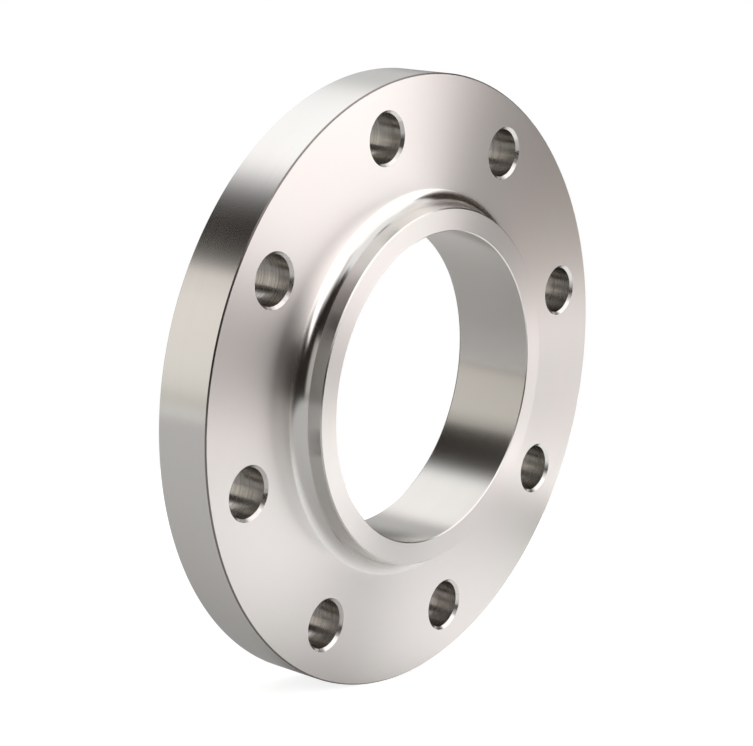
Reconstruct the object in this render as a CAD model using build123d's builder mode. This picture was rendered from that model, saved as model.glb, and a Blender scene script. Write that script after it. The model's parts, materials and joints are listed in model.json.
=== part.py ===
from build123d import *
from math import sqrt
import os

# Hubbed slip-on pipe flange, NPS 4 (DN 100), class 150: one forging, turned all over and drilled.
# The pipe's axis is X. X = 0 is the plane of the gasket face, the hub points along +X and Z is up.

os.makedirs("parts", exist_ok=True)

# Driving dimensions, millimetres.
outside_diameter = 228.6
plate_thickness = 22.3
raised_face_diameter = 157.2
raised_face_height = 1.6
bore_diameter = 116.1

# The hub has a short side that tapers towards its end, and a hollow fillet down to the plate.
# Its walls are measured outwards from the bore, and its heights from the plate.
hub_height = 9.4
hub_side_height = 5.15
hub_wall_at_end = 8.45
hub_wall_at_base = 9.45
hub_fillet_radius = 6.0

# The bolt holes lie on a circle set in from the rim, and straddle the upright centre line.
rim_to_bolt_circle = 19.05
bolt_hole_diameter = 18.0
bolt_hole_count = 8

# Every corner that a tool would leave sharp is broken by a small chamfer.
rim_gasket_side_chamfer = 1.0
rim_hub_side_chamfer = 0.5
raised_face_chamfer = 0.3
bore_gasket_end_chamfer = 1.0
bore_hub_end_chamfer = 0.35
hub_end_chamfer = 0.4
bolt_hole_chamfer = 1.05

# Places that follow from the driving dimensions.
rim_radius = outside_diameter / 2
bore_radius = bore_diameter / 2
raised_face_radius = raised_face_diameter / 2
hub_end_radius = bore_radius + hub_wall_at_end
hub_base_radius = bore_radius + hub_wall_at_base
bolt_circle_radius = rim_radius - rim_to_bolt_circle
bolting_face = raised_face_height + plate_thickness
length_through_hub = bolting_face + hub_height
hub_side_start = length_through_hub - hub_side_height
hub_side_end = length_through_hub - hub_end_chamfer
hub_taper = (hub_wall_at_base - hub_wall_at_end) / hub_side_height
fillet_height = hub_side_start - bolting_face
fillet_reach = sqrt(hub_fillet_radius**2 - (hub_fillet_radius - fillet_height) ** 2)
half_pitch_angle = 180 / bolt_hole_count

with BuildPart() as flange:
    # Half of the section through the axis: local X runs along the pipe, local Y outwards from its axis.
    with BuildSketch(Plane.XZ) as half_section:
        with BuildLine() as outline:
            gasket_side = Polyline(
                (0, bore_radius + bore_gasket_end_chamfer),
                (0, raised_face_radius - raised_face_chamfer),
                (raised_face_chamfer, raised_face_radius),
                (raised_face_height, raised_face_radius),
                (raised_face_height, rim_radius - rim_gasket_side_chamfer),
                (raised_face_height + rim_gasket_side_chamfer, rim_radius),
                (bolting_face - rim_hub_side_chamfer, rim_radius),
                (bolting_face, rim_radius - rim_hub_side_chamfer),
                (bolting_face, hub_base_radius + fillet_reach),
            )
            # The fillet leaves the plate along its face, and meets the hub's side at a faint edge.
            hub_fillet = TangentArc(
                gasket_side @ 1,
                (hub_side_start, hub_base_radius),
                tangent=(0, -1),
            )
            Polyline(
                hub_fillet @ 1,
                (hub_side_end, hub_end_radius + hub_taper * hub_end_chamfer),
                (length_through_hub, hub_end_radius - hub_end_chamfer),
                (length_through_hub, bore_radius + bore_hub_end_chamfer),
                (length_through_hub - bore_hub_end_chamfer, bore_radius),
                (bore_gasket_end_chamfer, bore_radius),
                (0, bore_radius + bore_gasket_end_chamfer),
            )
        make_face()
    revolve(axis=Axis.X)

    # The bolt holes go straight through the plate, and both of their mouths are chamfered.
    with BuildSketch(Plane.YZ.offset(raised_face_height)) as bolt_holes:
        with PolarLocations(bolt_circle_radius, bolt_hole_count, start_angle=half_pitch_angle):
            Circle(bolt_hole_diameter / 2)
    extrude(amount=plate_thickness, mode=Mode.SUBTRACT)
    hole_mouths = flange.edges(Select.LAST).filter_by(GeomType.CIRCLE)
    chamfer(hole_mouths, length=bolt_hole_chamfer)

flange.part.label = "flange"
export_step(flange.part, "parts/flange.step")

print(f"hub {2 * hub_end_radius:.1f} mm across its end, {length_through_hub:.1f} mm through it")
print(f"fillet {fillet_reach:.2f} mm out from the hub and {fillet_height:.2f} mm high")
print(f"{len(hole_mouths)} hole mouths chamfered, volume {flange.part.volume / 1000:.1f} cm3")
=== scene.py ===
# %% [markdown]
# # A hubbed slip-on flange in turned stainless steel
#
# A pipe flange is a thick steel ring that is welded to the end of a pipe and bolted to a twin of itself.
# This one is forged, turned on a lathe all over, and drilled with eight holes. In this lesson we build its
# mesh ring by ring, the way the lathe cuts it, and then give each surface the finish that its tool leaves.
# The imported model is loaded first, because every size and place comes from it.

# %% Load the fixed frame
import json
import math

import bmesh
import bpy
from mathutils import Matrix, Vector, noise


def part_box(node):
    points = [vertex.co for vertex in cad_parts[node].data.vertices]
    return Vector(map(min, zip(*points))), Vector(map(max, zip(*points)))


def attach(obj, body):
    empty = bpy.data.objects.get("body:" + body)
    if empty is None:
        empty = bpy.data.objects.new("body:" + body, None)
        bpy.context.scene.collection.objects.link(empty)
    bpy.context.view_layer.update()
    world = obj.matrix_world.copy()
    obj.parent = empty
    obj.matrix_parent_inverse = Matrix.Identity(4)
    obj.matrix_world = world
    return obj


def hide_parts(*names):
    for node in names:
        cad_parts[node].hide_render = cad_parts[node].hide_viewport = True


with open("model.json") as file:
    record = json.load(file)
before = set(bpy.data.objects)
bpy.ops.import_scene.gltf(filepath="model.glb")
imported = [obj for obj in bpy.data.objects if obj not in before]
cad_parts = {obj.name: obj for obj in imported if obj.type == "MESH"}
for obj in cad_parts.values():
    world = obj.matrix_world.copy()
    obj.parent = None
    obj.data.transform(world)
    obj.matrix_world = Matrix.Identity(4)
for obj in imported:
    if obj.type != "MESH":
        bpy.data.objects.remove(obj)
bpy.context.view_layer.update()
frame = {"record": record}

mounts = {mount["name"]: mount for mount in frame["record"]["mounts"]}
print("mounts:", sorted(mounts))

# %% [markdown]
# ## The sizes
#
# The big sizes are read from the frame: its box, its bore and its bolt circle. The small ones are the edge
# breaks, the hub's walls and the cuts of the gasket face, which a drawing would give in millimetres, so we
# write them that way and turn them into Blender's metres once.

# %% Sizes in metres
MM = 0.001

lowest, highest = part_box("flange")
hub_end_x = highest[0]
rim_radius = highest[2]
bolting_x = mounts["bolting_face"]["pos_m"][0]
bore_radius = mounts["pipe_bore"]["dims"]["r_mm"] * MM
bolt_circle_radius = mounts["bolt_circle"]["dims"]["pcd_mm"] / 2 * MM
hole_radius = mounts["bolt_circle"]["dims"]["hole_r_mm"] * MM
hole_count = mounts["bolt_circle"]["dims"]["count"]

raised_face_radius = 78.6 * MM
raised_face_height = 1.6 * MM
hub_end_radius = bore_radius + 8.45 * MM
hub_base_radius = bore_radius + 9.45 * MM
hub_side_height = 5.15 * MM
hub_fillet_radius = 6.0 * MM

rim_gasket_break = 1.0 * MM
rim_hub_break = 0.5 * MM
raised_face_break = 0.3 * MM
bore_gasket_break = 1.0 * MM
bore_hub_break = 0.35 * MM
hub_end_break = 0.4 * MM
hole_break = 1.05 * MM

fillet_height = hub_end_x - hub_side_height - bolting_x
fillet_reach = math.sqrt(hub_fillet_radius**2 - (hub_fillet_radius - fillet_height) ** 2)
fillet_foot_radius = hub_base_radius + fillet_reach
print(f"fillet foot at radius {fillet_foot_radius / MM:.2f} mm")

# %% [markdown]
# ## The finishes, by name
#
# One forging carries several finishes, and each is cut by its own tool: the facing cuts on the plate, the
# serrated gasket face, the rim, the hub's fillet, side and end, the bore, the drilled holes and the small
# edge breaks. The mesh has one material slot for each, and every ring of faces says which tool cut it.
# Separate slots were chosen over painted masks, because a tool's finish stops exactly at an edge.

# %% Name the finishes
FINISHES = [
    "faced", "serrated", "rim", "rim_edge",
    "hub_foot", "hub", "hub_side", "hub_end",
    "bore", "drilled", "edge",
]
TANGENT_FINISHES = {"faced", "hub_foot", "hub"}   # they meet in smooth curves, with no corner between them
slot_of = {finish: index for index, finish in enumerate(FINISHES)}
print(len(FINISHES), "finishes:", ", ".join(FINISHES))

# %% [markdown]
# ## The lathe's cuts as rings
#
# Everything but the bolt holes is round about the pipe's axis, which is X. Such a body could be a profile
# curve with a Screw modifier, but the drilled faces have to join it point for point, so we lay each ring of
# points ourselves. A ring has a multiple of eight points, so that each bolt hole gets the same share of it.

# %% Rings and the bands between them
POINTS_PER_HOLE = 48
RING_POINTS = POINTS_PER_HOLE * hole_count

mesh_in_work = bmesh.new()


def ring(x, radius):
    """One ring of points round the X axis, starting along +Y."""
    made = []
    for step in range(RING_POINTS):
        angle = math.tau * step / RING_POINTS
        made.append(mesh_in_work.verts.new((x, radius * math.cos(angle), radius * math.sin(angle))))
    return made


def band(one_ring, next_ring, finish):
    """The faces between two closed rings of the same number of points."""
    count = len(one_ring)
    for step in range(count):
        after = (step + 1) % count
        corners = (one_ring[step], one_ring[after], next_ring[after], next_ring[step])
        face = mesh_in_work.faces.new(corners)
        face.material_index = slot_of[finish]


def bands(rows):
    """Rings and bands for rows of (x, radius, finish up to the next row), and the first and last ring."""
    rings = [ring(x, radius) for x, radius, _ in rows]
    for index in range(len(rows) - 1):
        band(rings[index], rings[index + 1], rows[index][2])
    return rings[0], rings[-1]


def straight(start, end, steps, finish):
    """Rows along a straight cut, without its last point."""
    rows = []
    for step in range(steps):
        share = step / steps
        x = start[0] + (end[0] - start[0]) * share
        radius = start[1] + (end[1] - start[1]) * share
        rows.append((x, radius, finish))
    return rows


print(RING_POINTS, "points in a ring")

# %% [markdown]
# ## From the bolting face, over the hub, through the bore
#
# The lathe's path starts at the foot of the hub's fillet, climbs the fillet, runs up the short side of the
# hub, across its square end and down the bore. The fillet is a true arc, which is tangent to the plate and
# meets the hub's side at a faint edge. An arc needs only its centre and radius, so its rows come from them.

# %% The hub and bore rows
FILLET_STEPS = 16
FACED_STEPS = 2   # the facing tool runs a little way up the fillet
FOOT_STEPS = 5    # and the foot's duller cut ends here
SIDE_STEPS = 5
END_STEPS = 6
BORE_STEPS = 14
fillet_centre = (bolting_x + hub_fillet_radius, fillet_foot_radius)
fillet_sweep = math.acos((hub_fillet_radius - fillet_height) / hub_fillet_radius)


def fillet_finish(step):
    """The finish of one row of the fillet, counted from the plate."""
    if step < FACED_STEPS:
        return "faced"
    return "hub_foot" if step < FOOT_STEPS else "hub"


hub_rows = []
for step in range(FILLET_STEPS):
    turn = fillet_sweep * step / FILLET_STEPS
    hub_rows.append((
        fillet_centre[0] - hub_fillet_radius * math.cos(turn),
        fillet_centre[1] - hub_fillet_radius * math.sin(turn),
        fillet_finish(step),
    ))

side_foot = (bolting_x + fillet_height, hub_base_radius)
side_slope = (hub_base_radius - hub_end_radius) / hub_side_height
side_top = (hub_end_x - hub_end_break, hub_end_radius + side_slope * hub_end_break)
end_outer = (hub_end_x, hub_end_radius - hub_end_break)
end_inner = (hub_end_x, bore_radius + bore_hub_break)
bore_front = (hub_end_x - bore_hub_break, bore_radius)
bore_back = (bore_gasket_break, bore_radius)
gasket_inner = (0.0, bore_radius + bore_gasket_break)

hub_rows += straight(side_foot, side_top, SIDE_STEPS, "hub_side")
hub_rows += straight(side_top, end_outer, 1, "edge")
hub_rows += straight(end_outer, end_inner, END_STEPS, "hub_end")
hub_rows += straight(end_inner, bore_front, 1, "edge")
hub_rows += straight(bore_front, bore_back, BORE_STEPS, "bore")
hub_rows += straight(bore_back, gasket_inner, 1, "edge")
print("rows over the hub and bore:", len(hub_rows))

# %% [markdown]
# ## The serrated gasket face
#
# The raised face seals against a gasket, and a round-nosed tool cuts fine grooves in it so that the gasket
# can't creep. Here the grooves are 0.8 mm apart and less than 0.05 mm deep, cut as rings. They could be bump
# in the material, but they catch real light at a low angle, so each groove is three rows of the mesh.

# %% The gasket face rows
GROOVE_PITCH = 0.8 * MM
GROOVE_DEPTH = 0.045 * MM
FLOOR_START, FLOOR_END = 0.32, 0.68   # where a groove's floor begins and ends, in shares of the pitch
gasket_outer = (0.0, raised_face_radius - raised_face_break)
plain_margin = 0.4 * MM

groove_room = gasket_outer[1] - gasket_inner[1] - 2 * plain_margin
groove_count = int(groove_room / GROOVE_PITCH)
pitch = groove_room / groove_count

gasket_rows = [(gasket_inner[0], gasket_inner[1], "serrated")]
for groove in range(groove_count):
    crest = gasket_inner[1] + plain_margin + groove * pitch
    gasket_rows.append((0.0, crest, "serrated"))
    for share in (FLOOR_START, FLOOR_END):
        gasket_rows.append((GROOVE_DEPTH, crest + share * pitch, "serrated"))
gasket_rows.append((0.0, gasket_outer[1] - plain_margin, "serrated"))
raised_edge = (raised_face_break, raised_face_radius)
raised_foot = (raised_face_height, raised_face_radius)
gasket_rows += straight(gasket_outer, raised_edge, 1, "edge")
gasket_rows += straight(raised_edge, raised_foot, 2, "rim")
gasket_rows.append((*raised_foot, "faced"))
hub_first, raised_last = bands(hub_rows + gasket_rows)
print(f"{groove_count} grooves, {pitch / MM:.3f} mm apart")

# %% [markdown]
# ## The rim
#
# The rim is a plain turned cylinder with its two corners broken, and the break on the hub's side is coloured
# dark, a painted shade line round the plate. It joins the two drilled faces.

# %% The rim rows
RIM_STEPS = 10
rim_back = (raised_face_height + rim_gasket_break, rim_radius)
rim_front = (bolting_x - rim_hub_break, rim_radius)
rim_rows = straight((raised_face_height, rim_radius - rim_gasket_break), rim_back, 1, "edge")
rim_rows += straight(rim_back, rim_front, RIM_STEPS, "rim")
# The break on the hub's side is coloured dark: a painted shade line round the plate, not a finish of the
# steel.
rim_rows += straight(rim_front, (bolting_x, rim_radius - rim_hub_break), 1, "rim_edge")
rim_rows.append((bolting_x, rim_radius - rim_hub_break, "faced"))
rim_first, rim_last = bands(rim_rows)
print("rows over the rim:", len(rim_rows))

# %% [markdown]
# ## The drilled holes
#
# A twist drill leaves a wall that is never quite round: it wanders by a few hundredths of a millimetre, and
# the hole is met by a second cut from the other side, which leaves a faint step. The mouths are broken by a
# hand tool that chatters. All of this is small, so it is worked out from smooth noise that is the same on
# every run. A boolean could cut the holes, but it would leave long thin faces, so each hole gets clean
# rings.

# %% The walls of the holes
SIDE_POINTS = 24
MOUTH_POINTS = 2 * POINTS_PER_HOLE + 2 * SIDE_POINTS
MOUTH_START = -math.pi / 3
WALL_STEPS = 22
WANDER = 0.045 * MM
STEP_IN = 0.03 * MM
STEP_PLACE = 0.62
CHATTER = 0.10 * MM
NOISE_PLACE = (17.3, 5.1, 2.7)     # the first grows with the hole's number, so that no two are alike
GASKET_SIDE, HUB_SIDE = 0.0, 7.0   # where each mouth's chatter lies in the noise


def wobble(hole, angle, along, fineness):
    """Smooth noise from -1 to 1 that closes on itself round a hole."""
    place = Vector((math.cos(angle), math.sin(angle), along)) * fineness
    return noise.noise(place + Vector((NOISE_PLACE[0] * hole, NOISE_PLACE[1], NOISE_PLACE[2])))


def hole_ring(hole, x, cut_at):
    """One ring of points in a hole; cut_at(angle) gives the radius and how far the point is off x."""
    centre_angle = math.tau * (hole + 0.5) / hole_count
    outward = Vector((0.0, math.cos(centre_angle), math.sin(centre_angle)))
    around = Vector((0.0, -math.sin(centre_angle), math.cos(centre_angle)))
    made = []
    for step in range(MOUTH_POINTS):
        angle = MOUTH_START + math.tau * step / MOUTH_POINTS
        radius, lift = cut_at(angle)
        place = outward * (bolt_circle_radius + radius * math.cos(angle)) + around * radius * math.sin(angle)
        place.x = x + lift
        made.append(mesh_in_work.verts.new(place))
    return made


def drill_hole(hole):
    """The mouth on the gasket side, the wall and the mouth on the hub side. Returns the two mouths."""

    def mouth(side):
        def cut_at(angle):
            ragged = CHATTER / 2 * wobble(hole, angle, side, 6.0)
            return hole_radius + hole_break + ragged, 0.0
        return cut_at

    def mouth_foot(side, inward):
        def cut_at(angle):
            slow = wobble(hole, angle, side + 3.0, 2.2)
            fast = wobble(hole, angle, side, 9.0)
            return hole_radius, inward * CHATTER * (slow + 0.8 * fast)
        return cut_at

    def wall(share):
        def cut_at(angle):
            drift = WANDER * wobble(hole, angle, 3.0 * share, 1.6)
            step_in = STEP_IN if share < STEP_PLACE else 0.0
            return hole_radius + drift - step_in, 0.0
        return cut_at

    start, end = raised_face_height + hole_break, bolting_x - hole_break
    gasket_mouth = hole_ring(hole, raised_face_height, mouth(GASKET_SIDE))
    gasket_foot = hole_ring(hole, start, mouth_foot(GASKET_SIDE, 1.0))
    hub_foot = hole_ring(hole, end, mouth_foot(HUB_SIDE, -1.0))
    hub_mouth = hole_ring(hole, bolting_x, mouth(HUB_SIDE))

    band(gasket_mouth, gasket_foot, "edge")
    previous = gasket_foot
    for step in range(1, WALL_STEPS):
        share = step / WALL_STEPS
        following = hole_ring(hole, start + (end - start) * share, wall(share))
        band(previous, following, "drilled")
        previous = following
    band(previous, hub_foot, "drilled")
    band(hub_foot, hub_mouth, "edge")
    return gasket_mouth, hub_mouth


mouths = [drill_hole(hole) for hole in range(hole_count)]
print(f"{hole_count} holes of {MOUTH_POINTS} points")

# %% [markdown]
# ## The drilled faces
#
# Between the hub and the rim, each hole owns one slice of the plate's face. The slice is a rectangle when it
# is measured by angle and radius, and so is easy to fill: loops of points run from the round mouth out to
# the slice's border, closer together near the hole. The slices share their border points, so the mesh stays
# one closed skin of four-sided faces.

# %% Fill the two drilled faces
FACE_LOOPS = 7
CROWDING = 1.5   # above 1, the loops are closer together near the hole


def slice_border(inner, outer, sides, hole):
    """The border of a hole's slice: out arc, far side, in arc, near side."""
    first = hole * POINTS_PER_HOLE
    last = first + POINTS_PER_HOLE
    far, near = sides[(hole + 1) % hole_count], sides[hole]
    border = [outer[step % RING_POINTS] for step in range(first, last + 1)]
    border += far
    border += [inner[step % RING_POINTS] for step in range(last, first - 1, -1)]
    border += near[::-1]
    return border


def polar(vertex, about):
    """A point's angle from the slice's middle, and its radius."""
    angle = math.atan2(vertex.co.z, vertex.co.y) - about
    return (angle + math.pi) % math.tau - math.pi, math.hypot(vertex.co.y, vertex.co.z)


def fill_drilled_face(x, inner, outer, hole_mouths):
    """Four-sided faces between the two rings and the eight mouths, all at x."""
    _, inner_radius = polar(inner[0], 0.0)
    _, outer_radius = polar(outer[0], 0.0)
    sides = []
    for hole in range(hole_count):
        angle = math.tau * hole / hole_count
        side = []
        for step in range(1, SIDE_POINTS):
            radius = outer_radius + (inner_radius - outer_radius) * step / SIDE_POINTS
            point = (x, radius * math.cos(angle), radius * math.sin(angle))
            side.append(mesh_in_work.verts.new(point))
        sides.append(side)
    for hole in range(hole_count):
        middle = math.tau * (hole + 0.5) / hole_count
        border = slice_border(inner, outer, sides, hole)
        previous = hole_mouths[hole]
        for loop in range(1, FACE_LOOPS):
            share = (loop / FACE_LOOPS) ** CROWDING
            following = []
            for mouth_point, border_point in zip(hole_mouths[hole], border):
                mouth_angle, mouth_radius = polar(mouth_point, middle)
                border_angle, border_radius = polar(border_point, middle)
                angle = middle + mouth_angle + (border_angle - mouth_angle) * share
                radius = mouth_radius + (border_radius - mouth_radius) * share
                place = (x, radius * math.cos(angle), radius * math.sin(angle))
                following.append(mesh_in_work.verts.new(place))
            band(previous, following, "faced")
            previous = following
        band(previous, border, "faced")


fill_drilled_face(bolting_x, hub_first, rim_last, [hub_mouth for _, hub_mouth in mouths])
fill_drilled_face(raised_face_height, raised_last, rim_first, [gasket_mouth for gasket_mouth, _ in mouths])
print(f"{len(mesh_in_work.faces)} faces in the skin")

# %% [markdown]
# ## One closed skin
#
# The faces are turned to look outwards together, and smooth shading is switched on. Each real corner and
# each edge between two finishes is marked sharp, so that light breaks there as it does on cut metal. Only
# the finishes that follow each other along the fillet stay smooth where they meet.

# %% Make the flange object
SHARP_CORNER = math.radians(25)

bmesh.ops.recalc_face_normals(mesh_in_work, faces=mesh_in_work.faces[:])
for face in mesh_in_work.faces:
    face.smooth = True
open_edges = 0
for edge in mesh_in_work.edges:
    if len(edge.link_faces) != 2:
        open_edges += 1
        continue
    finishes_here = {FINISHES[face.material_index] for face in edge.link_faces}
    two_finishes = len(finishes_here) == 2
    tangent_joint = finishes_here <= TANGENT_FINISHES
    corner = edge.calc_face_angle(0.0) > SHARP_CORNER
    edge.smooth = not (corner or (two_finishes and not tangent_joint))

flange_mesh = bpy.data.meshes.new("flange_forging")
mesh_in_work.to_mesh(flange_mesh)
flange_mesh_volume = mesh_in_work.calc_volume(signed=True)
mesh_in_work.free()
flange = bpy.data.objects.new("flange_forging", flange_mesh)
bpy.context.scene.collection.objects.link(flange)
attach(flange, "root")
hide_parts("flange")
print(f"{len(flange_mesh.polygons)} faces, {open_edges} open edges, {flange_mesh_volume * 1e6:.1f} cm3")

# %% [markdown]
# ## Turned steel
#
# A lathe tool leaves fine circular grooves. Along a groove the metal is smooth and across it is rough, so a
# highlight is drawn out across the grooves: that is what makes the fan of light on a turned face. The
# Principled shader does this with its Anisotropic value and a tangent that runs round the axis. The grooves
# that the eye can still see are a bump whose pattern changes fast with the radius and hardly at all with the
# angle.

# %% A node tree for steel
class Nodes:
    """A small helper that adds nodes to one tree and links them."""

    def __init__(self, owner):
        owner.use_nodes = True
        self.tree = owner.node_tree
        self.tree.nodes.clear()

    def node(self, kind, **settings):
        made = self.tree.nodes.new(kind)
        for key, value in settings.items():
            setattr(made, key, value)
        return made

    def link(self, output, target):
        self.tree.links.new(output, target)

    def math(self, operation, one, two=None):
        """A Math node; each input is a number or an output."""
        made = self.node("ShaderNodeMath", operation=operation)
        for place, value in enumerate((one, two)):
            if value is None:
                continue
            if isinstance(value, (int, float)):
                made.inputs[place].default_value = value
            else:
                self.link(value, made.inputs[place])
        return made.outputs[0]

    def spread(self, value, from_low, from_high, to_low, to_high):
        """A Map Range node."""
        made = self.node("ShaderNodeMapRange")
        self.link(value, made.inputs["Value"])
        made.inputs["From Min"].default_value = from_low
        made.inputs["From Max"].default_value = from_high
        made.inputs["To Min"].default_value = to_low
        made.inputs["To Max"].default_value = to_high
        return made.outputs["Result"]

    def blend(self, share, one, two):
        """A colour between two colours; each is a tuple or an output."""
        made = self.node("ShaderNodeMix", data_type="RGBA")
        self.link(share, made.inputs["Factor"])
        for name, value in (("A", one), ("B", two)):
            [socket] = [each for each in made.inputs if each.name == name and each.type == "RGBA"]
            if isinstance(value, tuple):
                socket.default_value = (*value, 1.0)
            else:
                self.link(value, socket)
        [mixed] = [each for each in made.outputs if each.type == "RGBA"]
        return mixed

    def join(self, kind, *values):
        """A node of this kind with its inputs linked in order, such as a Mix Shader or an Add Shader."""
        made = self.node(kind)
        for place, value in enumerate(values):
            self.link(value, made.inputs[place])
        return made.outputs[0]

    def seen_by_camera(self, mirrored, seen):
        """One shader for everything that mirrors or is lit by the surface, and another for the camera."""
        is_camera_ray = self.node("ShaderNodeLightPath").outputs["Is Camera Ray"]
        return self.join("ShaderNodeMixShader", is_camera_ray, mirrored, seen)


class Shader(Nodes):
    """The nodes of one new material."""

    def __init__(self, name):
        self.material = bpy.data.materials.new(name)
        super().__init__(self.material)

    def place(self):
        """The piece's own coordinates, in metres."""
        return self.node("ShaderNodeTexCoord").outputs["Object"]

    def along_and_out(self):
        """Distance along the axis, radius, and the direction outwards with a length of one."""
        parts = self.node("ShaderNodeSeparateXYZ")
        self.link(self.place(), parts.inputs[0])
        flat = self.node("ShaderNodeCombineXYZ")
        self.link(parts.outputs["Y"], flat.inputs["Y"])
        self.link(parts.outputs["Z"], flat.inputs["Z"])
        length = self.node("ShaderNodeVectorMath", operation="LENGTH")
        self.link(flat.outputs[0], length.inputs[0])
        outward = self.node("ShaderNodeVectorMath", operation="NORMALIZE")
        self.link(flat.outputs[0], outward.inputs[0])
        return parts.outputs["X"], length.outputs["Value"], outward.outputs["Vector"]

    def noise(self, vector, scale=1.0, detail=2.0, roughness=0.5):
        """A Noise texture's value."""
        made = self.node("ShaderNodeTexNoise")
        self.link(vector, made.inputs["Vector"])
        made.inputs["Scale"].default_value = scale
        made.inputs["Detail"].default_value = detail
        made.inputs["Roughness"].default_value = roughness
        return made.outputs["Fac"]


def lay_pattern(shader, cut_along_radius, fineness, drift):
    """A place in the noise that moves fast across the cuts and slowly along them, round the axis."""
    along, radius, outward = shader.along_and_out()
    across = radius if cut_along_radius else along
    stretched = shader.node("ShaderNodeVectorMath", operation="SCALE")
    shader.link(outward, stretched.inputs[0])
    stretched.inputs["Scale"].default_value = drift
    pushed = shader.node("ShaderNodeCombineXYZ")
    shader.link(shader.math("MULTIPLY", across, fineness), pushed.inputs["X"])
    joined = shader.node("ShaderNodeVectorMath", operation="ADD")
    shader.link(stretched.outputs[0], joined.inputs[0])
    shader.link(pushed.outputs[0], joined.inputs[1])
    return joined.outputs[0]


# How fast the marks change across the cuts, in steps of noise to one metre.
FINE_FEED = 3200.0
DRILL_FEED = 1500.0
BROAD_FEED = 260.0
# How far they change once round the axis: the radius of the circle that they run round in the noise.
FINE_DRIFT = 1.6
BROAD_DRIFT = 0.8
# The tint drifts like a cloud, by as many steps to one metre in every direction.
CLOUD_FEED = 22.0


def turned_steel(
    name, roughness, spread, anisotropy, groove=0.0015 * MM, cut_along_radius=True,
    tone=(0.70, 0.69, 0.67), warm=(0.72, 0.69, 0.68), cool=(0.69, 0.70, 0.67),
    feed=FINE_FEED, round_each_hole=False,
):
    """Steel with a circular lay about the pipe's axis, or round each bolt hole.

    The roughness varies by the spread on either side, and the groove is how deep the finest marks are. The
    tone is the colour of the marks' crests, and between them the colour drifts from cool to warm.
    """
    shader = Shader(name)
    output = shader.node("ShaderNodeOutputMaterial")
    steel = shader.node("ShaderNodeBsdfPrincipled")
    shader.link(steel.outputs[0], output.inputs["Surface"])
    steel.inputs["Metallic"].default_value = 1.0
    steel.inputs["Anisotropic"].default_value = anisotropy
    steel.inputs["Anisotropic Rotation"].default_value = 0.25

    if round_each_hole:
        across = shader.node("ShaderNodeVectorMath", operation="CROSS_PRODUCT")
        across.inputs[1].default_value = (1.0, 0.0, 0.0)
        shader.link(shader.node("ShaderNodeNewGeometry").outputs["Normal"], across.inputs[0])
        lay = across.outputs["Vector"]
    else:
        lay = shader.node("ShaderNodeTangent", direction_type="RADIAL", axis="X").outputs[0]
    shader.link(lay, steel.inputs["Tangent"])

    fine_place = lay_pattern(shader, cut_along_radius, feed, FINE_DRIFT)
    broad_place = lay_pattern(shader, cut_along_radius, BROAD_FEED, BROAD_DRIFT)
    fine = shader.noise(fine_place, detail=3.0, roughness=0.6)
    broad = shader.noise(broad_place)
    cloud = shader.noise(shader.place(), scale=CLOUD_FEED)

    mixed = shader.math("ADD", shader.math("MULTIPLY", fine, 0.6), shader.math("MULTIPLY", broad, 0.4))
    rough = shader.spread(mixed, 0.3, 0.7, roughness - spread, roughness + spread)
    shader.link(rough, steel.inputs["Roughness"])

    tint = shader.blend(shader.spread(cloud, 0.35, 0.65, 0.0, 1.0), cool, warm)
    shade = shader.blend(shader.spread(fine, 0.1, 0.9, 0.0, 1.0), tint, tone)
    shader.link(shade, steel.inputs["Base Color"])

    bump = shader.node("ShaderNodeBump")
    bump.inputs["Strength"].default_value = 1.0
    bump.inputs["Distance"].default_value = groove
    shader.link(fine, bump.inputs["Height"])
    shader.link(bump.outputs[0], steel.inputs["Normal"])
    return shader.material


print(f"the finest marks are about {1 / FINE_FEED / MM:.1f} mm wide")

# %% [markdown]
# ## One material for each tool
#
# The plate is faced with a fine feed and has the strongest lay. The gasket face is duller. The hub is the
# smoothest, and a little duller at its foot and on its side. The rim, the bore and the drilled walls are cut
# along their length, and a drilled wall's lay runs round its own hole; the drilled walls are toned much
# darker, which is partly their drill marks and partly painted shade for the depth of the holes. The edge
# breaks are filed bright, but the rim's break on the hub's side is coloured dark, a painted shade line drawn
# round the plate.

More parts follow.
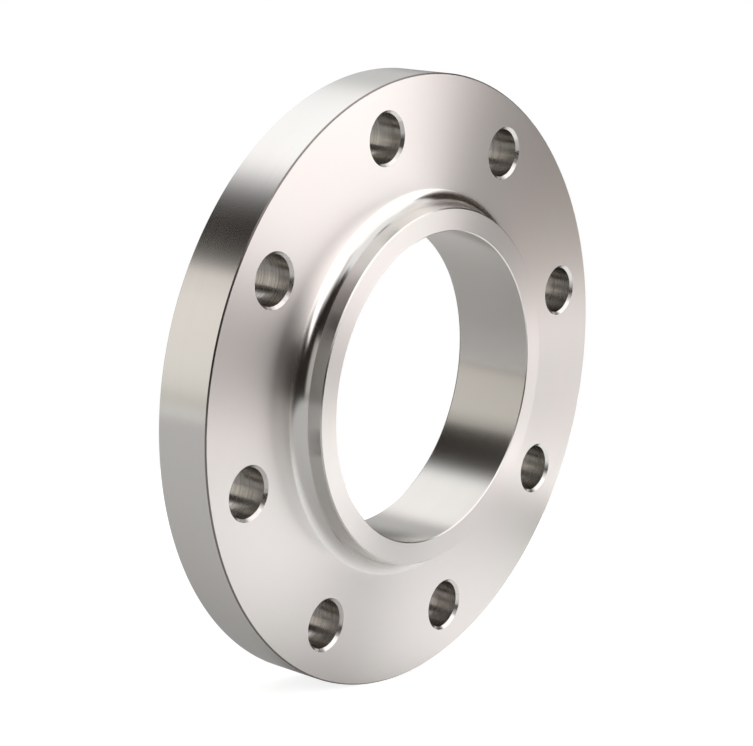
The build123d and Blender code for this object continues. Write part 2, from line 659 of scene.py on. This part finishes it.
# %% Make the finishes
steel_by_finish = {
    "faced": turned_steel("turned_face", 0.29, 0.01, 0.95, groove=0.0008 * MM, tone=(0.73, 0.705, 0.69)),
    "serrated": turned_steel("serrated_face", 0.32, 0.06, 0.6, tone=(0.66, 0.65, 0.63)),
    "rim": turned_steel("turned_rim", 0.23, 0.02, 0.9, cut_along_radius=False),
    # A dark colour on the rim's hub-side break: a painted shade line round the plate.
    "rim_edge": turned_steel(
        "dark_rim_edge", 0.30, 0.05, 0.3,
        tone=(0.22, 0.20, 0.19), warm=(0.28, 0.25, 0.24), cool=(0.24, 0.23, 0.22),
    ),
    "hub_foot": turned_steel("turned_hub_foot", 0.21, 0.01, 0.8, groove=0.0005 * MM),
    "hub": turned_steel("turned_hub", 0.165, 0.01, 0.6, groove=0.0005 * MM),
    "hub_side": turned_steel("turned_hub_side", 0.22, 0.01, 0.8, groove=0.0005 * MM),
    "hub_end": turned_steel("faced_hub_end", 0.28, 0.005, 0.9, groove=0.0004 * MM, tone=(0.72, 0.70, 0.69)),
    "bore": turned_steel(
        "bored_wall", 0.24, 0.02, 0.8, cut_along_radius=False,
        tone=(0.62, 0.605, 0.58), warm=(0.64, 0.61, 0.59), cool=(0.61, 0.61, 0.58),
    ),
    # The drilled walls' streaks are the drill's marks, but their tones are set much darker than steel:
    # painted shade for the depth of the holes.
    "drilled": turned_steel(
        "drilled_wall", 0.24, 0.10, 0.7, groove=0.012 * MM, cut_along_radius=False,
        tone=(0.26, 0.24, 0.22), warm=(0.56, 0.52, 0.50), cool=(0.50, 0.50, 0.46),
        feed=DRILL_FEED, round_each_hole=True,
    ),
    "edge": turned_steel("filed_edge", 0.25, 0.05, 0.2),
}
for finish in FINISHES:
    flange_mesh.materials.append(steel_by_finish[finish])
print("materials:", [material.name for material in flange_mesh.materials])

# %% [markdown]
# ## The camera
#
# The flange is seen from its hub side, a little from the left and from just above, through a long lens from
# about three quarters of a metre, so that its far side is slightly smaller. The camera is held a few degrees
# off level. It aims past the middle of the bolting face by a small offset.

# %% Place the camera
VIEW_AZIMUTH = math.radians(37.15)
VIEW_ELEVATION = math.radians(6.56)
VIEW_ROLL = math.radians(7.27)
VIEW_DISTANCE = 6.75 * rim_radius
AIM_RIGHT = -15.07 * MM
AIM_UP = 3.85 * MM
LENS = 99.6

backward = Vector((
    math.sin(VIEW_AZIMUTH) * math.cos(VIEW_ELEVATION),
    -math.cos(VIEW_AZIMUTH) * math.cos(VIEW_ELEVATION),
    math.sin(VIEW_ELEVATION),
))
level_right = Vector((math.cos(VIEW_AZIMUTH), math.sin(VIEW_AZIMUTH), 0.0))
level_up = backward.cross(level_right)
right = level_right * math.cos(VIEW_ROLL) + level_up * math.sin(VIEW_ROLL)
up = level_up * math.cos(VIEW_ROLL) - level_right * math.sin(VIEW_ROLL)
seen_point = Vector((bolting_x, 0.0, 0.0))
eye = seen_point + backward * VIEW_DISTANCE + right * AIM_RIGHT + up * AIM_UP

camera_data = bpy.data.cameras.new("camera")
camera_data.lens = LENS
camera = bpy.data.objects.new("camera", camera_data)
camera.matrix_world = Matrix.Translation(eye) @ Matrix((right, up, backward)).transposed().to_4x4()
bpy.context.scene.collection.objects.link(camera)
bpy.context.scene.camera = camera
print(f"camera {VIEW_DISTANCE:.3f} m away")

# %% [markdown]
# ## The studio's light
#
# Polished metal shows mostly what stands round it, so lighting it means choosing what it mirrors. A product
# photographer hangs large white softboxes, and puts black cards between them to draw the dark lines that
# make metal look like metal. Lamps and cards could be real objects here, but each would also block some
# camera positions. We build them into the world instead: every softbox and card is a soft-edged patch of
# sky, given by its azimuth, its height above the horizon and its size. The flange then looks right from
# every side, and the light is free of noise.

# %% The sky as patches
world = bpy.data.worlds.new("studio")
bpy.context.scene.world = world
bpy.context.scene.view_settings.view_transform = "Standard"
sky = Nodes(world)
looking = sky.node("ShaderNodeTexCoord").outputs["Generated"]


def reach(azimuth, elevation):
    """How far the looked-at direction reaches towards this azimuth, from +X, and this elevation."""
    turn, rise = math.radians(azimuth), math.radians(elevation)
    made = sky.node("ShaderNodeVectorMath", operation="DOT_PRODUCT")
    sky.link(looking, made.inputs[0])
    made.inputs[1].default_value = (
        math.cos(rise) * math.cos(turn), math.cos(rise) * math.sin(turn), math.sin(rise)
    )
    return made.outputs["Value"]


elevation_now = sky.math("DEGREES", sky.math("ARCSINE", reach(0, 90)))


def soft_step(value, start, end):
    """0 before start and 1 after end, or 1 before end and 0 after start when start is the larger."""
    made = sky.node("ShaderNodeMapRange", interpolation_type="SMOOTHSTEP")
    sky.link(value, made.inputs["Value"])
    falling = start > end
    made.inputs["From Min"].default_value = min(start, end)
    made.inputs["From Max"].default_value = max(start, end)
    made.inputs["To Min"].default_value = 1.0 if falling else 0.0
    made.inputs["To Max"].default_value = 0.0 if falling else 1.0
    return made.outputs["Result"]


def tinted(radiance, tint):
    """A radiance as a colour."""
    return tuple(radiance * part for part in tint)


def lay_over(share, radiance, tint):
    """A patch of another radiance and tint over the sky so far."""
    global studio
    studio = sky.blend(share, studio, tinted(radiance, tint))


def hang(middle, half_width, bottom, top, radiance, tint, side_soft=4, bottom_soft=3, top_soft=3):
    """One softbox or card, upright in the sky: its azimuth, elevations and soft edges are in degrees."""
    offset = sky.math("DEGREES", sky.math("ARCTAN2", reach(middle + 90, 0), reach(middle, 0)))
    inside = soft_step(sky.math("ABSOLUTE", offset), half_width + side_soft, half_width - side_soft)
    over_bottom = soft_step(elevation_now, bottom - bottom_soft, bottom + bottom_soft)
    under_top = soft_step(elevation_now, top + top_soft, top - top_soft)
    upright = sky.math("MULTIPLY", over_bottom, under_top)
    lay_over(sky.math("MULTIPLY", inside, upright), radiance, tint)


print(len(sky.tree.nodes), "nodes measure the elevation")

# %% [markdown]
# ## Softboxes and cards
#
# Below the horizon lies a pale table top, overhead hangs a white ceiling, and the walls between them are
# nearly black. The rest are patches: a few large softboxes, and the cards and the gaps between them that
# draw the dark bands. Some tints are a little warm, as the steel picks up the room's own colours.

# %% Lay the patches
NEUTRAL = (1.0, 1.0, 1.0)
WARM = (1.0, 0.96, 0.90)
ROSE = (1.0, 0.955, 0.945)
BROWN = (1.0, 0.72, 0.58)
TAN = (1.0, 0.86, 0.78)
AMBER = (1.0, 0.86, 0.74)
UMBER = (1.0, 0.62, 0.42)

dark_room = sky.node("ShaderNodeRGB")
dark_room.outputs[0].default_value = (*tinted(0.02, BROWN), 1.0)
studio = dark_room.outputs[0]

# The table top is lighter near the horizon, and darkest straight below.
lay_over(soft_step(elevation_now, -11, -15), 0.62, NEUTRAL)
lay_over(soft_step(elevation_now, -40, -80), 0.36, NEUTRAL)
# The ceiling, and the black card that shades it towards the front left.
lay_over(soft_step(elevation_now, 44, 60), 1.1, NEUTRAL)
hang(-101, 43, 23.5, 62, 0.02, BROWN, side_soft=5, bottom_soft=2, top_soft=5)
# The wall at the front left: bright towards the left, dim towards the camera, cut off by a card at the top.
hang(-106, 41, -12, 20.5, 0.55, WARM, side_soft=8, bottom_soft=4, top_soft=4)
hang(-160, 32, -14, 24.5, 1.3, WARM, side_soft=8, bottom_soft=14, top_soft=1.5)
# The rear left softboxes that whiten the top of the rim and the bottom of the bore.
hang(152, 32, 2, 40, 0.74, NEUTRAL, side_soft=8, top_soft=8)
hang(168, 34, 37.5, 62, 1.5, NEUTRAL, side_soft=10, bottom_soft=10, top_soft=8)
# A dark brown card at the right, for the plate's dark wedge and the dark crescent at the top of the fillet.
hang(94, 32, 0, 39, 0.045, UMBER, side_soft=4, bottom_soft=2, top_soft=4)
# A low warm strip further right, for the beige right side of the plate.
hang(90, 20, -3, 6.5, 1.1, AMBER, side_soft=4, bottom_soft=1.5, top_soft=3)
# The softboxes at the right that make the white crescent of the fillet, with a sharp right edge.
hang(-26, 12, 30, 50, 0.9, ROSE, side_soft=6, bottom_soft=6)
hang(0, 24, 9, 48, 1.9, ROSE, side_soft=6, bottom_soft=1.5, top_soft=5)
hang(32, 13, 0.2, 50, 1.9, ROSE, side_soft=2, bottom_soft=1.5, top_soft=5)
hang(48, 9, 4, 50, 2.1, ROSE, side_soft=0.7, bottom_soft=1.5, top_soft=5)
hang(28, 40, 44, 66, 1.5, ROSE, side_soft=4, bottom_soft=4)
hang(88, 24, 44, 66, 1.05, ROSE, side_soft=4, bottom_soft=3)
# The light on the table, and the low softboxes that the plate mirrors directly.
hang(48, 28, -36, -9, 0.85, TAN, side_soft=8, bottom_soft=8, top_soft=1.5)
hang(52, 9, -20, -8, 1.4, ROSE, side_soft=3, bottom_soft=4, top_soft=1.5)
hang(92, 33, -18, -1.5, 3.2, ROSE, side_soft=2, bottom_soft=5, top_soft=1.5)

surroundings = sky.node("ShaderNodeBackground")
sky.link(studio, surroundings.inputs["Color"])
backdrop = sky.node("ShaderNodeBackground")
backdrop.inputs["Color"].default_value = (*NEUTRAL, 1.0)
chosen = sky.seen_by_camera(surroundings.outputs[0], backdrop.outputs[0])
sky.link(chosen, sky.node("ShaderNodeOutputWorld").inputs["Surface"])
world.cycles.sampling_method = "MANUAL"
world.cycles.sample_map_resolution = 1024
print(len(sky.tree.nodes), "nodes in the sky")

# %% [markdown]
# ## The floor
#
# The flange stands on its rim, on a plain pale floor. A disc is enough, because the white backdrop goes on
# where it ends. A floor that is white to the camera would be too bright a thing for the metal to mirror, so
# it has two looks. The camera sees it nearly self-lit, with only the soft shadow under the rim to say where
# the floor is, and the flange mirrors a duller floor with one soft pool of light on it.

# %% Lay the floor
FLOOR_RADIUS = 0.42
POOL_PLACE = (0.16, 0.14)
POOL_CORE = 0.13
POOL_EDGE = 0.205
POOL_LIGHT = 0.50
FLOOR_LIGHT = 0.04
MATT_GREY = 0.68
COAT_GREY = 0.42
CAMERA_GLOW = 0.82

floor_mesh = bpy.data.meshes.new("floor")
floor_work = bmesh.new()
bmesh.ops.create_circle(floor_work, cap_ends=True, segments=128, radius=FLOOR_RADIUS)
floor_work.to_mesh(floor_mesh)
floor_work.free()
floor = bpy.data.objects.new("floor", floor_mesh)
floor.location = (hub_end_x / 2, 0.0, lowest[2])
bpy.context.scene.collection.objects.link(floor)

paint = Shader("pale_floor")


def matt_grey(lightness):
    """A matt surface of this grey."""
    made = paint.node("ShaderNodeBsdfDiffuse")
    made.inputs["Color"].default_value = (lightness, lightness, lightness, 1.0)
    return made.outputs[0]


# The pool of light that the flange mirrors lies before the hub, towards the camera's right.
from_pool = paint.node("ShaderNodeVectorMath", operation="DISTANCE")
paint.link(paint.node("ShaderNodeNewGeometry").outputs["Position"], from_pool.inputs[0])
from_pool.inputs[1].default_value = (*POOL_PLACE, lowest[2])
pool = paint.node("ShaderNodeEmission")
pool_light = paint.spread(from_pool.outputs["Value"], POOL_CORE, POOL_EDGE, POOL_LIGHT, FLOOR_LIGHT)
paint.link(pool_light, pool.inputs["Strength"])
mirrored = paint.join("ShaderNodeAddShader", matt_grey(MATT_GREY), pool.outputs[0])
# To the camera the floor is nearly white, with the shadow left in a thin matt coat.
glow = paint.node("ShaderNodeEmission")
glow.inputs["Strength"].default_value = CAMERA_GLOW
lit = paint.join("ShaderNodeAddShader", matt_grey(COAT_GREY), glow.outputs[0])
surface = paint.seen_by_camera(mirrored, lit)
paint.link(surface, paint.node("ShaderNodeOutputMaterial").inputs["Surface"])
floor_mesh.materials.append(paint.material)
print(f"floor at z = {lowest[2]:.4f} m")
